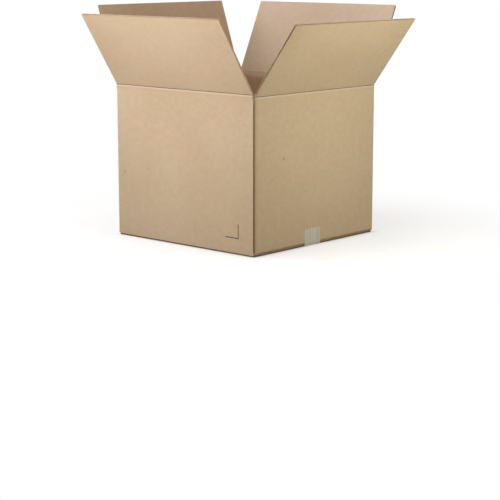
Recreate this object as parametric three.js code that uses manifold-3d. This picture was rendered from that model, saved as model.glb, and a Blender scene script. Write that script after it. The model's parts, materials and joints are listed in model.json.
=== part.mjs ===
// Corrugated shipping box: a regular slotted carton folded from one sheet of single-wall board.
// Its bottom flaps are closed and taped, and its four top flaps stand open.
// Millimetres, +Z up. The origin is the centre of the base. The front panel faces -Y, and the
// bottom seam runs along X, so the tape ends show on the two side panels.

import * as THREE from "three";
import { mergeVertices } from "three/addons/utils/BufferGeometryUtils.js";
import Module from "manifold-3d";

const wasm = await Module();
wasm.setup();

// Folded carton
const outerLength = 389; // along X, over the side panels
const outerWidth = 389; // along Y, over the front and back panels
const scoreHeight = 320; // floor to the top scores, mean of the two score levels
const topFlapLength = 176;
const bottomSeamGap = 2; // between the free edges of two closed bottom flaps

// Board
const boardThickness = 4;
const linerThickness = 0.45;
const mediumThickness = 0.35;
const flutePitch = 7.9;
const crushedMargin = 6; // the score squeezes the flutes shut over this length of each flap
const insideFoldRadius = 1.2;

// Slots and layers
const layerGap = 0.3; // between two layers of board that lie on each other
const outerFlapInset = 2.5; // front and back flaps, from the carton's outer face
const slotClearance = 0.35; // between a side flap and the inner face of the front or back panel
const slotPastScore = 5; // how far a slot runs on past the score

// Glued joint at the front right corner
const glueLine = 0.3;
const tabLength = 36;
const tabTaper = 12;
const tabClearance = 0.6; // between the tab and the flaps that close over or under it
const rawEdgeGroove = 1.5; // depth of the open flute in the front panel's raw edge

// Top flaps, degrees from upright
const frontFlapLean = 32.9;
const rightFlapLean = 36.5;
const backFlapLean = 24.5;
const leftFlapLean = 18.8;
const creaseGap = 0.42; // between a panel's mitred top and the root of its flap

// Tape under the bottom seam
const tapeWidth = 50;
const tapeThickness = 0.25;
const tapeRise = 36.5; // how far each end climbs the side panel
const tapeOffset = -11.5; // the strip was laid a little off the seam, towards the front
const tapeWrapHeight = 6; // where it meets the side panel after bridging the folded edge

const foldOuterRadius = insideFoldRadius + boardThickness;
const sideFlapInset = boardThickness + slotClearance;
const layerStep = boardThickness + layerGap;
const outerScoreHeight = scoreHeight + layerStep / 2; // front and back flaps close on top
const innerScoreHeight = scoreHeight - layerStep / 2; // side flaps close underneath
const tabOffset = boardThickness + glueLine;
const foldBottom = foldOuterRadius;
const foldTop = innerScoreHeight - slotPastScore;

const board = new THREE.MeshStandardMaterial({ color: "#c3a27c", roughness: 0.9, metalness: 0 });
const sideFlapBoard = new THREE.MeshStandardMaterial({ color: "#bfa17b", roughness: 0.9, metalness: 0 });
const tapeFilm = new THREE.MeshStandardMaterial({ color: "#b3a688", roughness: 0.4, metalness: 0 });

const alongX = new THREE.Vector3(1, 0, 0);
const alongY = new THREE.Vector3(0, 1, 0);
const alongZ = new THREE.Vector3(0, 0, 1);
const quarterTurn = Math.PI / 2;
const snapStep = 1 / 4096; // faces of two pieces that meet land on the same grid line

// Each panel is drawn facing -Y and turned to its side of the carton. The insets are where its
// flat part starts and ends, measured from the outer faces of its two neighbours.
const panels = [
  {
    side: "front",
    turns: 0,
    distance: outerWidth / 2,
    span: outerLength,
    closesOutside: true,
    lean: frontFlapLean,
    startInset: foldOuterRadius,
    endInset: outerFlapInset,
  },
  {
    side: "right",
    turns: 1,
    distance: outerLength / 2,
    span: outerWidth,
    closesOutside: false,
    lean: rightFlapLean,
    startInset: tabOffset + foldOuterRadius,
    endInset: foldOuterRadius,
  },
  {
    side: "back",
    turns: 2,
    distance: outerWidth / 2,
    span: outerLength,
    closesOutside: true,
    lean: backFlapLean,
    startInset: foldOuterRadius,
    endInset: foldOuterRadius,
  },
  {
    side: "left",
    turns: 3,
    distance: outerLength / 2,
    span: outerWidth,
    closesOutside: false,
    lean: leftFlapLean,
    startInset: foldOuterRadius,
    endInset: foldOuterRadius,
  },
];

function toSolid(geometry) {
  const bare = geometry.clone();
  bare.deleteAttribute("normal");
  bare.deleteAttribute("uv");
  const merged = mergeVertices(bare, 1e-5);
  const snapped = merged.attributes.position.array.map((value) => Math.round(value / snapStep) * snapStep);
  const mesh = new wasm.Mesh({
    numProp: 3,
    vertProperties: new Float32Array(snapped),
    triVerts: new Uint32Array(merged.index.array),
  });
  return new wasm.Manifold(mesh);
}

function toGeometry(solid) {
  const mesh = solid.getMesh();
  const geometry = new THREE.BufferGeometry();
  geometry.setAttribute("position", new THREE.BufferAttribute(new Float32Array(mesh.vertProperties), 3));
  geometry.setIndex(new THREE.BufferAttribute(new Uint32Array(mesh.triVerts), 1));
  geometry.computeVertexNormals();
  return geometry;
}

function extrude(shapes, depth) {
  return new THREE.ExtrudeGeometry(shapes, { depth, bevelEnabled: false, curveSegments: 3 });
}

// A profile drawn as (inward, up) that runs along the panel from start to end.
function panelPrism(profile, start, end) {
  const geometry = extrude(profile, end - start);
  geometry.applyMatrix4(new THREE.Matrix4().makeBasis(alongY, alongZ, alongX));
  geometry.translate(start, 0, 0);
  return geometry;
}

function placeOnSide(geometry, panel) {
  geometry.translate(0, -panel.distance, 0);
  geometry.rotateZ(panel.turns * quarterTurn);
  return geometry;
}

function bottomFlapReach(panel) {
  return panel.distance - bottomSeamGap / 2;
}

// Wall, rounded bottom fold and bottom flap in one strip of board, mitred at the top score.
function panelProfile(panel) {
  const top = panel.closesOutside ? outerScoreHeight : innerScoreHeight;
  const base = panel.closesOutside ? 0 : layerStep;
  const centre = base + foldOuterRadius;
  const reach = bottomFlapReach(panel);
  const profile = new THREE.Shape();
  profile.moveTo(0, top);
  profile.lineTo(0, centre);
  profile.absarc(foldOuterRadius, centre, foldOuterRadius, Math.PI, 1.5 * Math.PI, false);
  profile.lineTo(reach, base);
  profile.lineTo(reach, base + boardThickness);
  profile.lineTo(foldOuterRadius, base + boardThickness);
  profile.absarc(foldOuterRadius, centre, insideFoldRadius, 1.5 * Math.PI, Math.PI, true);
  profile.lineTo(boardThickness, top - boardThickness);
  profile.closePath();
  return profile;
}

function panelSolid(panel) {
  const start = -panel.span / 2 + panel.startInset;
  const end = panel.span / 2 - panel.endInset;
  return toSolid(placeOnSide(panelPrism(panelProfile(panel), start, end), panel));
}

// The flat of a bottom flap is wider than its panel, up to the slots.
function bottomFlapSolid(panel) {
  const base = panel.closesOutside ? 0 : layerStep;
  const inset = panel.closesOutside ? outerFlapInset : sideFlapInset;
  const half = panel.span / 2 - inset;
  const flat = new THREE.Shape();
  flat.moveTo(foldOuterRadius, base);
  flat.lineTo(bottomFlapReach(panel), base);
  flat.lineTo(bottomFlapReach(panel), base + boardThickness);
  flat.lineTo(foldOuterRadius, base + boardThickness);
  flat.closePath();
  return toSolid(placeOnSide(panelPrism(flat, -half, half), panel));
}

// A rounded vertical fold between two panels, as a quarter of a ring seen from above.
function cornerFoldSolid(centreX, centreY, turns) {
  const ring = new THREE.Shape();
  ring.moveTo(0, -foldOuterRadius);
  ring.absarc(0, 0, foldOuterRadius, -quarterTurn, 0, false);
  ring.lineTo(insideFoldRadius, 0);
  ring.absarc(0, 0, insideFoldRadius, 0, -quarterTurn, true);
  ring.closePath();
  const geometry = extrude(ring, foldTop - foldBottom);
  geometry.rotateZ(turns * quarterTurn);
  geometry.translate(centreX, centreY, foldBottom);
  return toSolid(geometry);
}

// The glued tab hangs on the right panel's front fold and lies behind the front panel.
function tabSolid() {
  const bottom = layerStep + boardThickness + tabClearance;
  const top = foldTop - tabClearance;
  const foldX = outerLength / 2 - foldOuterRadius;
  const endX = outerLength / 2 - tabLength;
  const outline = new THREE.Shape();
  outline.moveTo(foldX, bottom);
  outline.lineTo(foldX, top);
  outline.lineTo(endX, top - tabTaper);
  outline.lineTo(endX, bottom + tabTaper);
  outline.closePath();
  const geometry = extrude(outline, boardThickness);
  geometry.applyMatrix4(new THREE.Matrix4().makeBasis(alongX, alongZ, alongY.clone().negate()));
  geometry.translate(0, -outerWidth / 2 + tabOffset + boardThickness, 0);
  return toSolid(geometry);
}

// The open flute between the liners of the front panel's raw edge.
function rawEdgeGrooveSolid() {
  const height = outerScoreHeight - 2 * boardThickness - foldOuterRadius;
  const groove = new THREE.BoxGeometry(2 * rawEdgeGroove, boardThickness - 2 * linerThickness, height);
  const edgeX = outerLength / 2 - outerFlapInset;
  groove.translate(edgeX, -outerWidth / 2 + boardThickness / 2, foldOuterRadius + boardThickness + height / 2);
  return toSolid(groove);
}

// The tape presses its own thickness into the outer bottom flaps, so the carton rests on board.
function tapeBedSolid() {
  const bed = new THREE.BoxGeometry(outerLength, tapeWidth, 2 * tapeThickness);
  bed.translate(0, tapeOffset, 0);
  return toSolid(bed);
}

function cartonGeometry() {
  const backY = outerWidth / 2 - foldOuterRadius;
  const frontY = -backY;
  const rightX = outerLength / 2 - foldOuterRadius;
  let carton = cornerFoldSolid(rightX, frontY + tabOffset, 0);
  carton = carton.add(cornerFoldSolid(rightX, backY, 1));
  carton = carton.add(cornerFoldSolid(-rightX, backY, 2));
  carton = carton.add(cornerFoldSolid(-rightX, frontY, 3));
  carton = carton.add(tabSolid());
  for (const panel of panels) {
    carton = carton.add(panelSolid(panel));
    carton = carton.add(bottomFlapSolid(panel));
  }
  carton = carton.subtract(rawEdgeGrooveSolid());
  carton = carton.subtract(tapeBedSolid());
  return toGeometry(carton);
}

// Outline of one open flute seen from the free edge: flat on one liner, arched under the medium.
function fluteOutline(centre, crown) {
  const middle = boardThickness / 2;
  const rise = middle - linerThickness - mediumThickness / 2;
  const wave = (offset) => {
    const phase = (2 * Math.PI * offset) / flutePitch;
    const slope = ((2 * Math.PI * rise) / flutePitch) * Math.sin(phase);
    return rise * Math.cos(phase) - (mediumThickness / 2) * Math.hypot(1, slope);
  };
  const foot = 0.44 * flutePitch;
  const shoulder = flutePitch / 4;
  const top = flutePitch / 10;
  const floor = linerThickness - middle;
  const corners = [
    [-foot, floor],
    [foot, floor],
    [shoulder, wave(shoulder)],
    [top, wave(top)],
    [-top, wave(-top)],
    [-shoulder, wave(-shoulder)],
  ];
  return new THREE.Shape(corners.map(([x, s]) => new THREE.Vector2(centre + x, middle + crown * s)));
}

// Open flutes across a flap, alternately under the outer and the inner liner. The side edges
// are cut along the flutes, so the last ones may lie open there.
function flutesSolid(width, length) {
  const count = Math.floor(width / flutePitch) + 1;
  const outlines = [];
  for (let index = 0; index <= 2 * count; index += 1) {
    const centre = ((index - count) * flutePitch) / 2;
    outlines.push(fluteOutline(centre, index % 2 === 0 ? 1 : -1));
  }
  const geometry = extrude(outlines, length);
  geometry.translate(0, 0, crushedMargin);
  return toSolid(geometry);
}

// A top flap standing upright over its score: the hinge line is the outer liner at z = 0.
function flapGeometry(panel) {
  const inset = panel.closesOutside ? outerFlapInset : sideFlapInset;
  const width = panel.span - 2 * inset;
  const profile = new THREE.Shape();
  profile.moveTo(0, creaseGap);
  profile.lineTo(boardThickness, boardThickness + creaseGap);
  profile.lineTo(boardThickness, topFlapLength);
  profile.lineTo(0, topFlapLength);
  profile.closePath();
  const slab = toSolid(panelPrism(profile, -width / 2, width / 2));
  return toGeometry(slab.subtract(flutesSolid(width, topFlapLength)));
}

function flapHinge(panel) {
  const flap = new THREE.Mesh(flapGeometry(panel), panel.closesOutside ? board.clone() : sideFlapBoard.clone());
  flap.name = `flap_${panel.side}`;
  const hinge = new THREE.Group();
  hinge.position.set(0, -panel.distance, panel.closesOutside ? outerScoreHeight : innerScoreHeight);
  hinge.rotation.x = THREE.MathUtils.degToRad(panel.lean);
  hinge.add(flap);
  const side = new THREE.Group();
  side.rotation.z = panel.turns * quarterTurn;
  side.add(hinge);
  return side;
}

// One strip of film: along the seam, over the folded edges and up both side panels.
function tapeGeometry() {
  const half = outerLength / 2;
  const edge = half - outerFlapInset;
  const inner = [
    [edge, tapeThickness],
    [half, tapeWrapHeight],
    [half, tapeRise],
  ];
  const outer = [
    [half + tapeThickness, tapeRise],
    [half + tapeThickness, tapeWrapHeight],
    [edge + tapeThickness, 0],
  ];
  const rightSide = [...inner, ...outer];
  const leftSide = rightSide.map(([x, z]) => [-x, z]).reverse();
  const outline = [...rightSide, ...leftSide].map(([x, z]) => new THREE.Vector2(x, z));
  const geometry = extrude(new THREE.Shape(outline), tapeWidth);
  geometry.applyMatrix4(new THREE.Matrix4().makeBasis(alongX, alongZ, alongY.clone().negate()));
  geometry.translate(0, tapeWidth / 2 + tapeOffset, 0);
  return geometry;
}

const box = new THREE.Group();

const carton = new THREE.Mesh(cartonGeometry(), board);
carton.name = "carton";
box.add(carton);

for (const panel of panels) {
  box.add(flapHinge(panel));
}

const tape = new THREE.Mesh(tapeGeometry(), tapeFilm);
tape.name = "bottom_tape";
box.add(tape);

export default box;
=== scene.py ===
import json
import math

import bmesh
import bpy
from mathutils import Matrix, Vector, noise
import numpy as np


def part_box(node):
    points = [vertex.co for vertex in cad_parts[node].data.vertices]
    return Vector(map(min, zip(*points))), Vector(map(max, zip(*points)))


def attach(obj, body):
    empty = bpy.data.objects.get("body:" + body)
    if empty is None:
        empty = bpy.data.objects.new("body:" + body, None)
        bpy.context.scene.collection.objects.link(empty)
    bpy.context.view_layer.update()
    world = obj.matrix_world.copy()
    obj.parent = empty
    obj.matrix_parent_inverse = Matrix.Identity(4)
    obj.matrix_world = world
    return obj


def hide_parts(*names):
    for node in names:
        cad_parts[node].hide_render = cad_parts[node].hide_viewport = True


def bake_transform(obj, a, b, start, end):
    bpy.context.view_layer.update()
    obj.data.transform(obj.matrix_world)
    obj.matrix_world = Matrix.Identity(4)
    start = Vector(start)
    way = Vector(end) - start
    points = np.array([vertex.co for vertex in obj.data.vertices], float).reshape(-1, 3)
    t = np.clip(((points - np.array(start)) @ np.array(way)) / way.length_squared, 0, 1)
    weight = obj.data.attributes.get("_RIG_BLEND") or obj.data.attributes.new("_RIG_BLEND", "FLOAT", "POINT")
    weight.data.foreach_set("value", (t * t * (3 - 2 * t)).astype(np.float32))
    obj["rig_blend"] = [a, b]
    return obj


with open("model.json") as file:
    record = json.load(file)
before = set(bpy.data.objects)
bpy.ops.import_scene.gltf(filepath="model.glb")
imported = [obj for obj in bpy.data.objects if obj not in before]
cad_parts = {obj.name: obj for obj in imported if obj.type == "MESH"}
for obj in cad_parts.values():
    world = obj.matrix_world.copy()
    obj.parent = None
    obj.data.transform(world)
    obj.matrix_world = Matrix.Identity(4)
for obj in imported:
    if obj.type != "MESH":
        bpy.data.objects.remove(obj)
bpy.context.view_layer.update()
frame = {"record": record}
mm = 0.001

# The carton's own lines, read from the frame: each crease has its hinge point and axis.
creases = {joint["child"]: joint for joint in frame["record"]["behaviour"]["joints"]}
flapNames = ["flap_front", "flap_right", "flap_back", "flap_left"]
cartonLow, cartonHigh = (Vector(corner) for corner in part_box("carton"))
boardThickness = 4.0 * mm
slotPastScore = 5.0 * mm  # the slots between the flaps run this far into the walls
flapRootCut = 5.5 * mm  # a flap's own board starts here, above its crease strip

smooth = {"interpolation_type": "SMOOTHSTEP"}  # a range that eases in and out
facing = 0.9  # cosine from which a face or an edge counts as pointing in a direction
hair = 0.01 * mm  # nearer than this counts as the same place
weldDistance = 0.002 * mm  # corners of the CAD mesh this close are one point
cutTolerance = 0.001 * mm
boardSmoothDegrees = 35


def linearColour(hexCode):
    code = hexCode.lstrip("#")
    channels = [int(code[i:i + 2], 16) / 255 for i in (0, 2, 4)]
    linear = [c / 12.92 if c <= 0.04045 else ((c + 0.055) / 1.055) ** 2.4 for c in channels]
    return (*linear, 1.0)


white = linearColour("#ffffff")


def addNode(tree, kind, sockets=(), **settings):
    # Sockets are named or in order, and each takes a value, an output or a node's first output.
    node = tree.nodes.new(kind)
    for key, value in settings.items():
        setattr(node, key, value)
    entries = sockets.items() if isinstance(sockets, dict) else enumerate(sockets)
    for key, value in entries:
        source = value.outputs[0] if isinstance(value, bpy.types.Node) else value
        if isinstance(source, bpy.types.NodeSocket):
            tree.links.new(source, node.inputs[key])
        else:
            node.inputs[key].default_value = source
    return node


def layCoats(tree, colour, coats):
    # Coats go on in order: each covers or multiplies what lies under it, as far as its share goes.
    for blend, share, coat in coats:
        shade = linearColour(coat) if isinstance(coat, str) else coat
        sockets = {0: share, 6: colour, 7: shade}  # of a colour mix: the share and the two colours
        colour = addNode(tree, "ShaderNodeMix", sockets, data_type="RGBA", blend_type=blend).outputs[2]
    return colour


def newMaterial(name):
    material = bpy.data.materials.new(name)
    material.use_nodes = True
    material.node_tree.nodes.clear()
    return material, material.node_tree


def link(obj):
    bpy.context.scene.collection.objects.link(obj)
    return obj


def meshObject(name, bm):
    mesh = bpy.data.meshes.new(name)
    bm.to_mesh(mesh)
    bm.free()
    return link(bpy.data.objects.new(name, mesh))


def smoothByAngle(bm, degrees):
    for face in bm.faces:
        face.smooth = True
    for edge in bm.edges:
        edge.smooth = len(edge.link_faces) == 2 and edge.calc_face_angle(0) < math.radians(degrees)


# Camera: a long lens that faces the front right corner from a little above the flaps, fitted to
# the photograph's box edges. Turn and pitch are in degrees.
cameraSetup = {
    "lensPixels": 1511.0,
    "framePixels": 500.0,
    "sensorMm": 36.0,
    "turn": 41.94,
    "pitch": 11.17,
    "sideways": -6.6 * mm,
    "distance": 2935.4 * mm,
    "height": 595.9 * mm,
    "clipEnd": 60.0,
}


def buildCamera():
    c = cameraSetup
    turn = math.radians(c["turn"])
    data = bpy.data.cameras.new("studioCamera")
    data.sensor_width = c["sensorMm"]
    data.lens = c["lensPixels"] / c["framePixels"] * c["sensorMm"]
    data.clip_end = c["clipEnd"]
    camera = link(bpy.data.objects.new("studioCamera", data))
    right = Vector((math.cos(turn), math.sin(turn), 0))
    ahead = Vector((-math.sin(turn), math.cos(turn), 0))
    corner = Vector((cartonHigh.x, cartonLow.y, 0))
    place = corner + right * c["sideways"] - ahead * c["distance"]
    camera.location = (place.x, place.y, c["height"])
    camera.rotation_euler = (math.pi / 2 - math.radians(c["pitch"]), 0, turn)
    bpy.context.scene.camera = camera
    print("camera set")


# Studio: three soft boxes near the front and one near the right panel, so that their light falls
# off towards the floor, two weak ones behind the carton and a large panel overhead. Places and
# sizes are in metres, powers in watts.
studio = {
    "softBoxes": [
        {"place": (-0.82, -0.57, 1.0), "size": 0.5, "power": 4.9, "colour": "#f7f6ff"},
        {"place": (-0.42, -0.91, 0.7), "size": 0.5, "power": 3.5, "colour": "#fdfbff"},
        {"place": (0.07, -0.8, 0.4), "size": 0.5, "power": 3.5, "colour": "#fffdff"},
        {"place": (0.8, 0.03, 0.4), "size": 0.5, "power": 4.0, "colour": "#fffef1"},
        {"place": (0.2, 1.2, 0.7), "size": 0.7, "power": 3.0, "colour": "#ffffff"},
        {"place": (-1.1, 0.4, 0.7), "size": 0.7, "power": 3.0, "colour": "#ffffff"},
        {"place": (0.0, 0.0, 2.6), "size": 1.5, "power": 21.0, "colour": "#fffdf8"},
    ],
    "aimHeight": 0.3,
    "roomStrength": 0.15,
    "floorHex": "#f4f3f1",
    "floorBounceHex": "#888683",
    "floorSize": 14.0,
    "shadowShare": 0.42,
    "shadowCore": 0.3,
    "shadowReach": 0.75,
    "contactShare": 0.45,
    "contactReach": 0.014,
}


def buildLamp(name, box):
    data = bpy.data.lights.new(name, "AREA")
    data.shape = "SQUARE"
    data.size = box["size"]
    data.energy = box["power"]
    data.color = linearColour(box["colour"])[:3]
    lamp = link(bpy.data.objects.new(name, data))
    lamp.location = box["place"]
    aim = Vector((0, 0, studio["aimHeight"])) - Vector(box["place"])
    lamp.rotation_euler = aim.to_track_quat("-Z", "Y").to_euler()


def directlySeen(tree):
    # 1 on rays that bring the white surroundings to the eye, 0 on those that only light the carton.
    path = addNode(tree, "ShaderNodeLightPath").outputs
    seen = addNode(tree, "ShaderNodeMath", (path["Is Camera Ray"], path["Is Glossy Ray"]),
                   operation="MAXIMUM")
    return addNode(tree, "ShaderNodeMath", (seen, path["Is Transmission Ray"]), operation="MAXIMUM")


def buildRoom():
    # White to the eye, and a dim even light on the carton.
    world = bpy.data.worlds.new("paleRoom")
    world.use_nodes = True
    tree = world.node_tree
    tree.nodes.clear()
    dim = addNode(tree, "ShaderNodeBackground", {"Color": white, "Strength": studio["roomStrength"]})
    shown = addNode(tree, "ShaderNodeBackground", {"Color": white, "Strength": 1.0})
    mix = addNode(tree, "ShaderNodeMixShader", (directlySeen(tree), dim, shown))
    addNode(tree, "ShaderNodeOutputWorld", {"Surface": mix})
    bpy.context.scene.world = world


def floorMaterial():
    # A white sweep that takes the carton's shadow near it and lights it no more than grey card would.
    s = studio
    material, tree = newMaterial("paleStudioFloor")
    bounce = addNode(tree, "ShaderNodeBsdfDiffuse", {"Color": linearColour(s["floorBounceHex"])})
    pale = addNode(tree, "ShaderNodeBsdfDiffuse", {"Color": linearColour(s["floorHex"])})
    plain = addNode(tree, "ShaderNodeEmission", {"Color": white, "Strength": 1.0})
    place = addNode(tree, "ShaderNodeTexCoord").outputs["Object"]
    far = addNode(tree, "ShaderNodeVectorMath", (place,), operation="LENGTH").outputs["Value"]
    around = addNode(tree, "ShaderNodeMapRange",
                     (far, s["shadowCore"], s["shadowReach"], s["shadowShare"], 0.0), **smooth)
    mirrored = addNode(tree, "ShaderNodeVectorMath", (place,), operation="ABSOLUTE")
    reach = addNode(tree, "ShaderNodeSeparateXYZ", (mirrored,)).outputs
    beside = addNode(tree, "ShaderNodeMath", (reach[0], reach[1]), operation="MAXIMUM")
    wall = cartonHigh.x
    contact = addNode(tree, "ShaderNodeMapRange",
                      (beside, wall, wall + s["contactReach"], s["contactShare"], 0.0), **smooth)
    share = addNode(tree, "ShaderNodeMath", (around, contact), operation="ADD")
    shadowed = addNode(tree, "ShaderNodeMixShader", (share, plain, pale))
    mix = addNode(tree, "ShaderNodeMixShader", (directlySeen(tree), bounce, shadowed))
    addNode(tree, "ShaderNodeOutputMaterial", {"Surface": mix})
    return material


def buildFloor():
    bm = bmesh.new()
    bmesh.ops.create_grid(bm, x_segments=1, y_segments=1, size=studio["floorSize"] / 2)
    floor = meshObject("studioFloor", bm)
    floor.data.materials.append(floorMaterial())


def buildStudio():
    for index, box in enumerate(studio["softBoxes"]):
        buildLamp(f"softBox{index + 1}", box)
    buildRoom()
    buildFloor()
    print("studio ready")


# Kraft liner of single-wall corrugated board: unbleached paper, matte, cloudy, with the flutes
# showing very faintly through it as even lines and the fibres as fine flecks. Pairs are where a
# range starts and ends.
kraft = {
    "outerHex": "#baa588",
    "innerHex": "#c9b49d",
    "edgeHex": "#c8b092",
    # painted shade: the line of shade behind the outer liner on cut edges
    "coreShadeTint": "#615f5d",
    # painted light: the warmer brown of light bounced about inside the carton
    "bounceLightTint": "#fff4e4",
    "innerSide": (0.25, 0.45),  # of the side value on the mesh
    "cutSide": (0.75, 0.95),
    "coreStart": (0.02, 0.08),  # in board thicknesses from the outer liner
    "coreEnd": (0.16, 0.28),
    "cloudMm": 150.0,
    "cloudRange": (0.3, 0.7),
    "cloudTint": "#faf7f3",
    "grains": {
        "blotch": {"acrossMm": 14.0, "longer": 1.0, "detail": 4.0, "roughness": 0.75, "contrast": 0.047},
        "streak": {"acrossMm": 5.0, "longer": 18.0, "detail": 3.0, "roughness": 0.5, "contrast": 0.003},
        # Real fibres are finer, these are as coarse as it takes to show.
        "fibre": {"acrossMm": 1.6, "longer": 2.5, "detail": 3.0, "roughness": 0.7, "contrast": 0.06},
    },
    "grainRange": (0.25, 0.75),
    "flutePitchMm": 7.9,
    "fluteContrast": 0.004,
    "patchMm": 111.1,  # the flutes show more in some patches than in others
    "patchRange": (0.35, 0.65),
    "patchShare": (0.15, 1.0),
    "fleckMm": 11.0,
    "fleckChance": (0.86, 0.9),
    "fleckRadius": (0.04, 0.13),  # in fleck spacings
    "fleckShare": 0.6,
    "fleckTint": "#b79b80",
    "shoulderStart": (0.1, 0.45),  # of the score value on the mesh, as the crease range is
    "shoulderEnd": (0.55, 0.75),
    "shoulderShare": 0.11,
    # painted highlight where the wall's rounded shoulder catches the light below the crease
    "shoulderHighlightTint": "#ffffff",
    "creaseRange": (0.6, 0.95),
    # painted shade in the valley of the score
    "creaseShadeTint": "#af987f",
    "jointMm": 11.0,
    "jointBehindMm": (0.2, 1.5),
    # painted shade where the right panel turns away behind the glued joint
    "jointShadeTint": "#e4ebf0",
    "stainTint": "#b1967a",
    "stainHeart": 0.2,  # full strength out to this share of the radius
    "roughness": 0.86,
    "specular": 0.25,
    "bumpMm": 0.05,
    "fibreRelief": 0.35,
    "fluteRelief": 0.2,
}

# Handling marks, each a centre in mm, a radius and a strength on its own face.
stains = [
    {"centre": (-171.1, -194.5, 138.2), "radiusMm": 5.2, "strength": 0.34},
    {"centre": (194.5, -104.0, 189.4), "radiusMm": 4.8, "strength": 0.42},
]

# Values on the mesh of every board piece, beside its UV map, which holds the sheet's own metres,
# u across the flutes and v along them. side is 0 on the outer liner, 0.5 on the inner one and 1 on
# cut edges, depth runs through the board from 0 outside to 1 inside, and the last three place painted
# light and shade on the paper: the score line, each panel's light and the bounced warmth inside.
boardValues = ["side", "score", "panelLight", "depth", "bounceWarmth"]


def linerCoats(tree, written):
    # The inner liner, the cut edges with a painted line of shade by the outer liner, each panel's painted light
    # or shade, and the painted warmer brown that light takes on as it bounces about inside the carton.
    k = kraft
    inner = addNode(tree, "ShaderNodeMapRange", (written["side"], *k["innerSide"]), **smooth)
    cut = addNode(tree, "ShaderNodeMapRange", (written["side"], *k["cutSide"]), **smooth)
    start = addNode(tree, "ShaderNodeMapRange", (written["depth"], *k["coreStart"]), **smooth)
    end = addNode(tree, "ShaderNodeMapRange", (written["depth"], *k["coreEnd"], 1.0, 0.0), **smooth)
    coreShade = addNode(tree, "ShaderNodeMath", (start, end), operation="MULTIPLY")
    coreShade = addNode(tree, "ShaderNodeMath", (coreShade, cut), operation="MULTIPLY")
    bounced = addNode(tree, "ShaderNodeMath", (written["bounceWarmth"], inner), operation="MULTIPLY")
    return [
        ("MIX", inner, k["innerHex"]),
        ("MIX", cut, k["edgeHex"]),
        ("MULTIPLY", coreShade, k["coreShadeTint"]),
        ("MULTIPLY", 1.0, written["panelLight"]),
        ("MULTIPLY", bounced, k["bounceLightTint"]),
    ]


def paperGrain(tree, sheet, grain):
    # Noise on the flat sheet, drawn out along the flutes where the grain is longer that way.
    across = 1 / (grain["acrossMm"] * mm)
    spread = addNode(tree, "ShaderNodeVectorMath", (sheet, (across, across / grain["longer"], 0)),
                     operation="MULTIPLY")
    quality = {"Scale": 1.0, "Detail": grain["detail"], "Roughness": grain["roughness"]}
    return addNode(tree, "ShaderNodeTexNoise", {"Vector": spread, **quality})


def fluteLines(tree, place, sheet):
    # Even lines between -1 and 1, one to a flute.
    k = kraft
    across = addNode(tree, "ShaderNodeSeparateXYZ", (sheet,)).outputs[0]
    turns = addNode(tree, "ShaderNodeMath", (across, 2 * math.pi / (k["flutePitchMm"] * mm)),
                    operation="MULTIPLY")
    wave = addNode(tree, "ShaderNodeMath", (turns,), operation="SINE")
    patch = addNode(tree, "ShaderNodeTexNoise",
                    {"Vector": place, "Scale": 1 / (k["patchMm"] * mm), "Detail": 1.0})
    share = addNode(tree, "ShaderNodeMapRange", (patch, *k["patchRange"], *k["patchShare"]), **smooth)
    return addNode(tree, "ShaderNodeMath", (wave, share), operation="MULTIPLY")


def barkFlecks(tree, place):
    # Sparse dark flecks of bark and unbleached fibre: a dot in the few cells that are chosen.
    k = kraft
    cells = addNode(tree, "ShaderNodeTexVoronoi",
                    {"Vector": place, "Scale": 1 / (k["fleckMm"] * mm), "Randomness": 1.0})
    chance = addNode(tree, "ShaderNodeSeparateColor", (cells.outputs["Color"],))
    chosen = addNode(tree, "ShaderNodeMapRange", (chance, *k["fleckChance"]), **smooth)
    dot = addNode(tree, "ShaderNodeMapRange",
                  (cells.outputs["Distance"], *k["fleckRadius"], k["fleckShare"], 0.0), **smooth)
    return addNode(tree, "ShaderNodeMath", (chosen, dot), operation="MULTIPLY")


def paperCoats(tree, place, grains, flute):
    # Cloudy formation of the paper, its grain in three sizes, the flutes under it and the flecks.
    k = kraft
    cloud = addNode(tree, "ShaderNodeTexNoise",
                    {"Vector": place, "Scale": 1 / (k["cloudMm"] * mm), "Detail": 3.0})
    cloud = addNode(tree, "ShaderNodeMapRange", (cloud, *k["cloudRange"]), **smooth)
    coats = [("MULTIPLY", cloud, k["cloudTint"])]
    layers = [(grains[name], *k["grainRange"], grain["contrast"]) for name, grain in k["grains"].items()]
    layers.append((flute, -1.0, 1.0, k["fluteContrast"]))
    for pattern, low, high, contrast in layers:
        factor = addNode(tree, "ShaderNodeMapRange",
                         (pattern, low, high, 1 - contrast, 1 + contrast), **smooth)
        coats.append(("MULTIPLY", 1.0, factor))
    coats.append(("MULTIPLY", barkFlecks(tree, place), k["fleckTint"]))
    return coats


def scoreCoats(tree, score):
    # The crushed score: a dark crease line of painted shade with a paler shoulder of painted highlight beside
    # it.
    k = kraft
    start = addNode(tree, "ShaderNodeMapRange",
                    (score, *k["shoulderStart"], 0.0, k["shoulderShare"]), **smooth)
    end = addNode(tree, "ShaderNodeMapRange", (score, *k["shoulderEnd"], 1.0, 0.0), **smooth)
    shoulder = addNode(tree, "ShaderNodeMath", (start, end), operation="MULTIPLY")
    line = addNode(tree, "ShaderNodeMapRange", (score, *k["creaseRange"]), **smooth)
    return [("MIX", shoulder, k["shoulderHighlightTint"]), ("MULTIPLY", line, k["creaseShadeTint"])]


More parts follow.
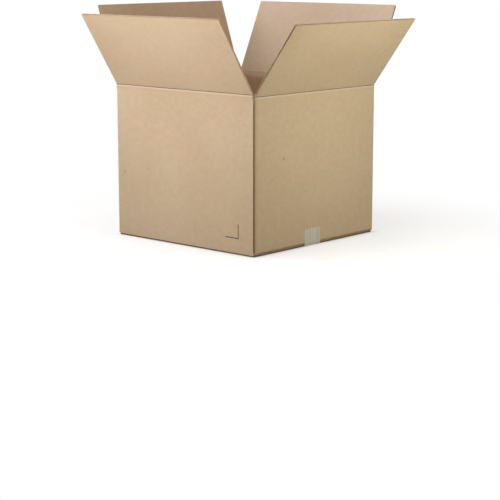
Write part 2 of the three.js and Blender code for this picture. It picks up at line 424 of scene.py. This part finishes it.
def jointCoat(tree, place):
    # The glued joint: painted shade on the right panel where it turns away behind the raw edge.
    k = kraft
    level = addNode(tree, "ShaderNodeVectorMath", (place, (1, 1, 0)), operation="MULTIPLY")
    fold = (cartonHigh.x, cartonLow.y + boardThickness, 0)
    apart = addNode(tree, "ShaderNodeVectorMath", (level, fold), operation="DISTANCE").outputs["Value"]
    near = addNode(tree, "ShaderNodeMapRange", (apart, 0.0, k["jointMm"] * mm, 1.0, 0.0), **smooth)
    behind = addNode(tree, "ShaderNodeSeparateXYZ", (place,)).outputs[1]
    start, end = (cartonLow.y + distance * mm for distance in k["jointBehindMm"])
    turned = addNode(tree, "ShaderNodeMapRange", (behind, start, end), **smooth)
    shade = addNode(tree, "ShaderNodeMath", (near, turned), operation="MULTIPLY")
    return ("MULTIPLY", shade, k["jointShadeTint"])


def stainCoat(tree, place, stain):
    centre = tuple(value * mm for value in stain["centre"])
    radius = stain["radiusMm"] * mm
    apart = addNode(tree, "ShaderNodeVectorMath", (place, centre), operation="DISTANCE").outputs["Value"]
    mark = addNode(tree, "ShaderNodeMapRange",
                   (apart, radius * kraft["stainHeart"], radius, stain["strength"], 0.0), **smooth)
    return ("MULTIPLY", mark, kraft["stainTint"])


def kraftMaterial():
    k = kraft
    material, tree = newMaterial("kraftLiner")
    place = addNode(tree, "ShaderNodeTexCoord").outputs["Object"]
    sheet = addNode(tree, "ShaderNodeUVMap", uv_map="board")
    written = {}
    for name in boardValues:
        written[name] = addNode(tree, "ShaderNodeAttribute", attribute_name=name).outputs["Fac"]
    grains = {name: paperGrain(tree, sheet, grain) for name, grain in k["grains"].items()}
    flute = fluteLines(tree, place, sheet)

    coats = linerCoats(tree, written) + paperCoats(tree, place, grains, flute)
    coats += scoreCoats(tree, written["score"])
    coats.append(jointCoat(tree, place))
    coats += [stainCoat(tree, place, stain) for stain in stains]
    colour = layCoats(tree, linearColour(k["outerHex"]), coats)

    # Paper grain and the washboard of the flutes as relief.
    relief = addNode(tree, "ShaderNodeMath", (grains["fibre"], k["fibreRelief"]), operation="MULTIPLY")
    relief = addNode(tree, "ShaderNodeMath", (flute, k["fluteRelief"], relief), operation="MULTIPLY_ADD")
    bump = addNode(tree, "ShaderNodeBump",
                   {"Strength": 1.0, "Distance": k["bumpMm"] * mm, "Height": relief})
    paper = {"Roughness": k["roughness"], "Specular IOR Level": k["specular"]}
    shader = addNode(tree, "ShaderNodeBsdfPrincipled", {"Base Color": colour, "Normal": bump, **paper})
    addNode(tree, "ShaderNodeOutputMaterial", {"Surface": shader})
    print("kraft board mixed")
    return material


def copyOfNode(node):
    source = bpy.data.objects[node]
    bm = bmesh.new()
    bm.from_mesh(source.data)
    bmesh.ops.transform(bm, matrix=source.matrix_world, verts=bm.verts)
    bmesh.ops.remove_doubles(bm, verts=bm.verts, dist=weldDistance)
    return bm


def cutAway(bm, point, normal):
    # Takes off what lies beyond the plane and closes the cut.
    geometry = bm.verts[:] + bm.edges[:] + bm.faces[:]
    bmesh.ops.bisect_plane(bm, geom=geometry, dist=cutTolerance, plane_co=point, plane_no=normal,
                           clear_outer=True)
    rim = [edge for edge in bm.edges if edge.is_boundary]
    bmesh.ops.holes_fill(bm, edges=rim, sides=0)
    bmesh.ops.remove_doubles(bm, verts=bm.verts, dist=cutTolerance)


def writeBoard(bm, locate, paper):
    # locate gives u, v, side and depth of a point on a face. The score stays 0 here.
    uv = bm.loops.layers.uv.new("board")
    layers = {name: bm.loops.layers.float.new(name) for name in boardValues}
    for face in bm.faces:
        centre = face.calc_center_median()
        for loop in face.loops:
            u, v, side, depth = locate(loop.vert.co, face.normal, centre)
            loop[uv].uv = (u, v)
            for name, value in {"side": side, "depth": depth, **paper}.items():
                loop[layers[name]] = value


def boardObject(name, bm, body, replaced, material):
    smoothByAngle(bm, boardSmoothDegrees)
    piece = meshObject(name, bm)
    piece.data.materials.append(material)
    if replaced:
        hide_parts(replaced)
    if body:
        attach(piece, body)
    return piece


# How the carton's faces are told apart, by how far they lie inside the outline and by height.
cartonFaces = {
    "rawEdge": (0.3 * mm, 2.6 * mm),  # cut ends that show beside an outer liner
    "outerLiner": 6.0 * mm,  # the outer liner with its rounded folds
    "floorHeight": 8.5 * mm,  # both layers of bottom flaps
    "cutsAbove": 20.0 * mm,  # level faces over this height are cut edges
    "slack": 0.1 * mm,
    "lowEndDepth": 0.12,  # painted shade on the ends of the bottom flaps, and its growth up them
    "lowEndGrowth": 0.12,
}


def locateLevel(point, normal, centre):
    # Bottom flaps, with the flutes of the inner layer the other way round, then cut edges.
    c = cartonFaces
    side = 0.0 if normal.z < 0 else 0.5
    if centre.z < c["floorHeight"] and abs(centre.x) < cartonHigh.x - c["outerLiner"]:
        if centre.z > boardThickness + c["slack"]:
            return point.y, point.x, side, 0.0
        return point.x, point.y, side, 0.0
    depth = min(cartonHigh.x - abs(point.x), cartonHigh.y - abs(point.y)) / boardThickness
    return point.x, point.y, 1.0 if centre.z > c["cutsAbove"] else side, depth


def locateOnCarton(point, normal, centre):
    c = cartonFaces
    axis = max(range(3), key=lambda i: abs(normal[i]))
    if axis == 2:
        return locateLevel(point, normal, centre)
    u = point.y if axis == 0 else point.x
    inside = cartonHigh[axis] - abs(centre[axis])
    facesOut = normal[axis] * centre[axis] > 0
    low = centre.z < boardThickness - c["slack"]
    nearest, farthest = c["rawEdge"]
    if facesOut and nearest < inside < farthest:
        # Ends of the bottom flaps below, in painted shade, the front panel's raw edge above.
        shaded = c["lowEndDepth"] + c["lowEndGrowth"] * point.z / boardThickness
        return u, point.z, 1.0, shaded if low else 0.0
    if facesOut and inside < c["outerLiner"]:
        return u, point.z, 0.0, 0.0
    if abs(centre[axis]) < boardThickness and low:
        return u, point.z, 1.0, point.z / boardThickness  # the seam between the bottom flaps, with painted shade low in it
    return u, point.z, 0.5, 0.0


def creaseFrame(name):
    # The hinge, its axes along the crease, inward across the wall and up it, and the flap's lean.
    joint = creases[name]
    hinge = Vector(joint["pos_m"])
    along = Vector(joint["axis"])
    up = Vector((0, 0, 1))
    inward = up.cross(along)
    lean = -math.radians(90 + joint["range_deg"][0])  # a flap closes by 90 degrees and its lean
    return hinge, along, inward, up, lean


def tilted(inward, up, lean, s, z):
    # A point s inward and z up on the flap, after the flap leans outward.
    depth = s * math.cos(lean) - z * math.sin(lean)
    height = s * math.sin(lean) + z * math.cos(lean)
    return inward * depth + up * height


# The walls end a little under the slots. At the glued joint the front panel's raw edge is drawn up
# to the right panel's fold.
cartonWalls = {
    "belowSlots": 0.4 * mm,
    "rawEdgeX": 192.0 * mm,
    "rawEdgeCloser": 2.0 * mm,
    "rawEdgeAbove": 5.0 * mm,
    "slack": 0.05 * mm,
}

# Painted light and shade for each panel: how much lighter or darker its paper is drawn, and how far its inside
# takes the painted warmer brown of bounced light.
panelLighting = {
    "carton": {"panelLight": 1.0, "bounceWarmth": 1.0},
    "flap_front": {"panelLight": 1.10, "bounceWarmth": 0.0},
    "flap_right": {"panelLight": 1.03, "bounceWarmth": 0.0},
    "flap_back": {"panelLight": 1.04, "bounceWarmth": 0.0},
    "flap_left": {"panelLight": 0.88, "bounceWarmth": 0.7},
}


def buildCarton(material):
    c = cartonWalls
    bm = copyOfNode("carton")
    for vert in bm.verts:
        atEdge = abs(vert.co.x - c["rawEdgeX"]) < c["slack"] and vert.co.z > c["rawEdgeAbove"]
        if atEdge and vert.co.y < cartonLow.y + boardThickness + c["slack"]:
            vert.co.x += c["rawEdgeCloser"]
    top = creases["flap_right"]["pos_m"][2] - slotPastScore - c["belowSlots"]
    cutAway(bm, Vector((0, 0, top)), Vector((0, 0, 1)))
    bm.normal_update()
    writeBoard(bm, locateOnCarton, panelLighting["carton"])
    piece = boardObject("cartonSheet", bm, "body", "carton", material)
    print("carton sheet:", len(piece.data.polygons), "faces")
    return top


def buildFlap(name, material):
    hinge, along, inward, up, lean = creaseFrame(name)
    rise = tilted(inward, up, lean, 0, 1)
    face = tilted(inward, up, lean, 1, 0)
    skin = 0.2 * mm  # a face this close to a surface of the board belongs to its liner
    bm = copyOfNode(name)
    cutAway(bm, hinge + rise * flapRootCut, -rise)
    bm.normal_update()
    length = max((vert.co - hinge).dot(rise) for vert in bm.verts)

    def locate(point, normal, centre):
        u = point.x if abs(along.x) > facing else point.y
        v = hinge.z + (point - hinge).dot(rise)
        depth = (centre - hinge).dot(face)
        if normal.dot(face) < -facing and depth < skin:
            return u, v, 0.0, 0.0
        if normal.dot(face) > facing and depth > boardThickness - skin:
            return u, v, 0.5, 0.0
        return u, v, 1.0, (point - hinge).dot(face) / boardThickness

    writeBoard(bm, locate, panelLighting[name])
    piece = boardObject(f"{name}_board", bm, name, name, material)
    print(name, "board:", len(piece.data.polygons), "faces,", round(length * 1000), "mm")


# Crease: the crushed score, one strip of board that bends with its flap. Points are (inward, up)
# in mm, the wall part upright and the flap part leaning; the last value is the score value, which places the
# painted shade and highlight and how far the point wavers.
creaseShape = {
    "outerWall": [(-0.05, -5.2, 0.0), (-0.30, -3.9, 0.25), (-0.42, -2.6, 0.45), (-0.25, -1.3, 0.5),
                  (0.3, -0.5, 0.75)],
    "valley": (0.85, 0.1, 1.0),
    "outerFlap": [(0.3, 0.7, 0.8), (0.05, 1.6, 0.0), (-0.05, 3.0, 0.0), (0.0, 4.6, 0.0)],
    "innerFlap": [(4.0, 5.0, 0.0), (3.8, 4.1, 0.0), (3.3, 2.6, 0.0)],
    "groove": (3.0, 0.5, 0.7),
    "sideGroove": (2.0, 0.3, 0.7),  # deeper, so an outer flap closes past it
    "innerWall": [(3.3, -2.4, 0.0), (3.8, -3.9, 0.0), (4.0, -4.8, 0.0)],
    "flapOverlapMm": 0.3,
    "lengthCuts": 47,
    "waverMm": 0.16,
    "waverLift": 0.8,
    "waversPerMetre": 60,
    "seedStep": 7.3,
    "fullWaver": 0.5,  # score shade from which the waver is at its full size
    "outerPaperMm": 1.6,  # faces less far inward than this are outer liner
    "flapPaperMm": 0.5,  # above this the strip takes its flap's paper
    "blendReachMm": 2.4,
}


def creaseOutline(inward, up, lean, bottom, groove):
    c = creaseShape
    root = flapRootCut + c["flapOverlapMm"] * mm
    points = [(up * bottom, 0.0)]
    for s, z, shade in c["outerWall"]:
        points.append((inward * s * mm + up * z * mm, shade))
    s, z, shade = c["valley"]
    points.append((tilted(inward, up, lean / 2, s * mm, z * mm), shade))
    for s, z, shade in c["outerFlap"]:
        points.append((tilted(inward, up, lean, s * mm, z * mm), shade))
    points.append((tilted(inward, up, lean, 0, root), 0.0))
    points.append((tilted(inward, up, lean, boardThickness, root), 0.0))
    for s, z, shade in c["innerFlap"]:
        points.append((tilted(inward, up, lean, s * mm, z * mm), shade))
    s, z, shade = groove
    points.append((tilted(inward, up, lean / 2, s * mm, z * mm), shade))
    for s, z, shade in c["innerWall"]:
        points.append((inward * s * mm + up * z * mm, shade))
    points.append((inward * boardThickness + up * bottom, 0.0))
    return points


def creaseStrip(hinge, along, half, outline):
    # The outline drawn out along the crease, in short lengths that can waver.
    bm = bmesh.new()
    ring = [bm.verts.new(hinge + offset - along * half) for offset, shade in outline]
    start = bm.faces.new(ring)
    pulled = bmesh.ops.extrude_face_region(bm, geom=[start])
    far = [item for item in pulled["geom"] if isinstance(item, bmesh.types.BMVert)]
    bmesh.ops.translate(bm, verts=far, vec=along * 2 * half)
    runs = []
    for edge in bm.edges:
        course = (edge.verts[1].co - edge.verts[0].co).normalized()
        if abs(course.dot(along)) > facing:
            runs.append(edge)
    bmesh.ops.subdivide_edges(bm, edges=runs, cuts=creaseShape["lengthCuts"], use_grid_fill=False)
    bmesh.ops.recalc_face_normals(bm, faces=bm.faces)
    return bm


def crushScore(bm, hinge, along, inward, up, outline, seed):
    # Gives each point its score shade and lets the score waver a little, as crushed board does.
    c = creaseShape
    profile = [(hinge + offset, shade) for offset, shade in outline]
    shades = {}
    for vert in bm.verts:
        run = (vert.co - hinge).dot(along)
        foot = vert.co - along * run
        shade = min(profile, key=lambda entry: (entry[0] - foot).length_squared)[1]
        shades[vert] = shade
        freedom = shade / c["fullWaver"]
        where = Vector((run * c["waversPerMetre"], seed * c["seedStep"], freedom))
        sway = noise.noise(where) * c["waverMm"] * mm
        vert.co += (inward * sway + up * sway * c["waverLift"]) * min(1.0, freedom)
    return shades


def buildCrease(name, wallTop, material, seed):
    c = creaseShape
    hinge, along, inward, up, lean = creaseFrame(name)
    rise = tilted(inward, up, lean, 0, 1)
    low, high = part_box(name)
    index = max(range(3), key=lambda i: abs(along[i]))
    half = (high[index] - low[index]) / 2
    groove = c["sideGroove"] if index == 1 else c["groove"]
    outline = creaseOutline(inward, up, lean, wallTop - hinge.z, groove)
    bm = creaseStrip(hinge, along, half, outline)
    shades = crushScore(bm, hinge, along, inward, up, outline, seed)

    def locate(point, normal, centre):
        u = point[index]
        v = max(point.z, hinge.z + (point - hinge).dot(rise))
        side = 0.5 if (centre - hinge).dot(inward) > c["outerPaperMm"] * mm else 0.0
        if abs(normal.dot(along)) > facing:
            side = 1.0
        return u, v, side, (point - hinge).dot(inward) / boardThickness

    bm.normal_update()
    writeBoard(bm, locate, panelLighting["carton"])
    layers = bm.loops.layers.float
    for face in bm.faces:
        for loop in face.loops:
            loop[layers["score"]] = shades.get(loop.vert, 0.0)
            if (loop.vert.co - hinge).dot(rise) > c["flapPaperMm"] * mm:
                for quality, value in panelLighting[name].items():
                    loop[layers[quality]] = value
    piece = boardObject(name.replace("flap", "crease"), bm, None, None, material)
    reach = c["blendReachMm"] * mm
    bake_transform(piece, "body", name, start=hinge - up * reach, end=hinge + tilted(inward, up, lean, 0, reach))
    print("crease strip for", name)


# Packing tape: clear polypropylene film with a tan adhesive, satin, lightly wrinkled where it
# climbs the side panels, its ends torn on a toothed blade. Drawn film keeps fine lines along its
# length.
tapeLook = {
    "paleHex": "#cbc4b4",
    "darkHex": "#c0b8a6",
    "alpha": (0.74, 0.85),
    "roughness": 0.38,
    "refraction": 1.49,
    "drawnMm": (83.33, 2.381, 83.33),  # real draw lines are finer, these are as coarse as it takes to show
    "drawnAlphaRange": (0.35, 0.65),
    "drawnColourRange": (0.3, 0.7),
    "crinkleMm": 11.11,
    "crinkleStrength": 0.5,
    "crinkleHeight": 0.12 * mm,
    "thickness": 0.10 * mm,
    "offSurface": 0.02 * mm,
    "underHeight": 0.12 * mm,
    "foldInset": 1.0 * mm,  # from the wall to where the run under the carton ends
    "underInsetsMm": (30.0, 6.0, 0.2),  # points of that run, in from its end
    "cornerMm": (0.25, 3.2),  # in from the side and up, where the film rounds the bottom edge
    "sideHeightsMm": (6.2, 12.0, 18.0, 24.0, 30.0),
    "widthCuts": 24,
    "smoothDegrees": 40,
    "toothMm": 0.9,
    "wrinkleMm": 0.05,
    "wrinklesPerMetre": (9.0, 160.0, 120.0),
    "wrinklesAbove": 8.0 * mm,
}


def tapeMaterial():
    t = tapeLook
    material, tree = newMaterial("polypropyleneTape")
    place = addNode(tree, "ShaderNodeTexCoord").outputs["Object"]
    crinkle = addNode(tree, "ShaderNodeTexNoise", {
        "Vector": place, "Scale": 1 / (t["crinkleMm"] * mm), "Detail": 3.0, "Distortion": 0.6})
    lines = tuple(1 / (size * mm) for size in t["drawnMm"])
    spread = addNode(tree, "ShaderNodeVectorMath", (place, lines), operation="MULTIPLY")
    drawn = addNode(tree, "ShaderNodeTexNoise", {"Vector": spread, "Scale": 1.0, "Detail": 2.0})
    milky = addNode(tree, "ShaderNodeMapRange", (drawn, *t["drawnAlphaRange"], *t["alpha"]), **smooth)
    paler = addNode(tree, "ShaderNodeMapRange", (drawn, *t["drawnColourRange"]), **smooth)
    colour = layCoats(tree, linearColour(t["darkHex"]), [("MIX", paler, t["paleHex"])])
    bump = addNode(tree, "ShaderNodeBump", {
        "Strength": t["crinkleStrength"], "Distance": t["crinkleHeight"], "Height": crinkle})
    film = {"Roughness": t["roughness"], "IOR": t["refraction"], "Alpha": milky}
    shader = addNode(tree, "ShaderNodeBsdfPrincipled", {"Base Color": colour, "Normal": bump, **film})
    addNode(tree, "ShaderNodeOutputMaterial", {"Surface": shader})
    return material


def tapePath(side, top):
    # From the middle of the bottom out to one side panel and up it, and the same mirrored.
    t = tapeLook
    under = t["underHeight"]
    fold = cartonHigh.x - t["foldInset"]
    half = [(0, under)] + [(fold - inset * mm, under) for inset in t["underInsetsMm"]]
    inset, height = t["cornerMm"]
    half.append((side - inset * mm, height * mm))
    half += [(side, height * mm) for height in t["sideHeightsMm"]] + [(side, top)]
    return [(-x, z) for x, z in reversed(half[1:])] + half


def tapeSheet(path, start, step):
    # The path drawn out across the tape's width, one column at a time.
    bm = bmesh.new()
    chain = [bm.verts.new((x, start, z)) for x, z in path]
    strip = [bm.edges.new(pair) for pair in zip(chain, chain[1:])]
    for column in range(tapeLook["widthCuts"]):
        pulled = bmesh.ops.extrude_edge_only(bm, edges=strip)["geom"]
        strip = [item for item in pulled if isinstance(item, bmesh.types.BMEdge)
                 and abs(item.verts[0].co.y - item.verts[1].co.y) < hair]
        moved = {vert for item in strip for vert in item.verts}
        bmesh.ops.translate(bm, verts=list(moved), vec=(0, step, 0))
    return bm


def tearAndWrinkle(bm, start, step, top):
    # Every other column of the torn end is cut back, and the film lifts in places on the sides.
    t = tapeLook
    for vert in bm.verts:
        column = round((vert.co.y - start) / step)
        if vert.co.z > top - hair and column % 2:
            vert.co.z -= t["toothMm"] * mm
        elif vert.co.z > t["wrinklesAbove"]:
            where = Vector([value * scale for value, scale in zip(vert.co, t["wrinklesPerMetre"])])
            lift = max(0.0, noise.noise(where)) * t["wrinkleMm"] * mm
            vert.co.x += math.copysign(lift, vert.co.x)


def buildTape():
    t = tapeLook
    low, high = (Vector(corner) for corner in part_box("bottom_tape"))
    side = cartonHigh.x + t["offSurface"] + t["thickness"] / 2
    step = (high.y - low.y) / t["widthCuts"]
    bm = tapeSheet(tapePath(side, high.z), low.y, step)
    tearAndWrinkle(bm, low.y, step, high.z)
    bmesh.ops.recalc_face_normals(bm, faces=bm.faces)
    bmesh.ops.solidify(bm, geom=bm.faces[:], thickness=t["thickness"])
    bmesh.ops.recalc_face_normals(bm, faces=bm.faces)
    smoothByAngle(bm, t["smoothDegrees"])
    piece = meshObject("sealingTape", bm)
    piece.data.materials.append(tapeMaterial())
    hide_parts("bottom_tape")
    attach(piece, "body")
    print("tape laid")


# Printed corner guide on the front panel: two thin ink lines that meet at the lower right. The
# ink is water-based, soaked into the liner and dull, and the paper shows through where it is worn.
cornerMark = {
    "cornerX": 154.9 * mm,
    "cornerZ": 33.1 * mm,
    "width": 36.0 * mm,
    "height": 30.0 * mm,
    "lineWidth": 1.8 * mm,
    "film": 0.04 * mm,
    "inkHex": "#2c2018",
    "wornHex": "#8a6d4d",
    "wornMm": 1.111,
    "wornRange": (0.55, 0.8),
    "wornShare": 0.5,
    "roughness": 0.8,
}


def inkMaterial():
    c = cornerMark
    material, tree = newMaterial("flexoInk")
    place = addNode(tree, "ShaderNodeTexCoord").outputs["Object"]
    worn = addNode(tree, "ShaderNodeTexNoise",
                   {"Vector": place, "Scale": 1 / (c["wornMm"] * mm), "Detail": 2.0})
    worn = addNode(tree, "ShaderNodeMapRange", (worn, *c["wornRange"], 0.0, c["wornShare"]), **smooth)
    colour = layCoats(tree, linearColour(c["inkHex"]), [("MIX", worn, c["wornHex"])])
    shader = addNode(tree, "ShaderNodeBsdfPrincipled", {"Base Color": colour, "Roughness": c["roughness"]})
    addNode(tree, "ShaderNodeOutputMaterial", {"Surface": shader})
    return material


def buildCornerMark():
    c = cornerMark
    left = c["cornerX"] - c["width"]
    top = c["cornerZ"] + c["height"]
    insideX = c["cornerX"] - c["lineWidth"]
    insideZ = c["cornerZ"] + c["lineWidth"]
    outline = [(left, c["cornerZ"]), (c["cornerX"], c["cornerZ"]), (c["cornerX"], top)]
    outline += [(insideX, top), (insideX, insideZ), (left, insideZ)]
    bm = bmesh.new()
    front = bm.faces.new([bm.verts.new((x, cartonLow.y - c["film"], z)) for x, z in outline])
    pulled = bmesh.ops.extrude_face_region(bm, geom=[front])
    back = [item for item in pulled["geom"] if isinstance(item, bmesh.types.BMVert)]
    bmesh.ops.translate(bm, verts=back, vec=(0, 2 * c["film"], 0))
    bmesh.ops.recalc_face_normals(bm, faces=bm.faces)
    piece = meshObject("cornerGuide", bm)
    piece.data.materials.append(inkMaterial())
    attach(piece, "body")
    print("corner guide printed")


buildCamera()
buildStudio()
boardMaterial = kraftMaterial()
wallTop = buildCarton(boardMaterial)
for order, flapName in enumerate(flapNames):
    buildFlap(flapName, boardMaterial)
    buildCrease(flapName, wallTop, boardMaterial, order + 1)
buildTape()
buildCornerMark()

bpy.context.scene.view_settings.view_transform = "Standard"
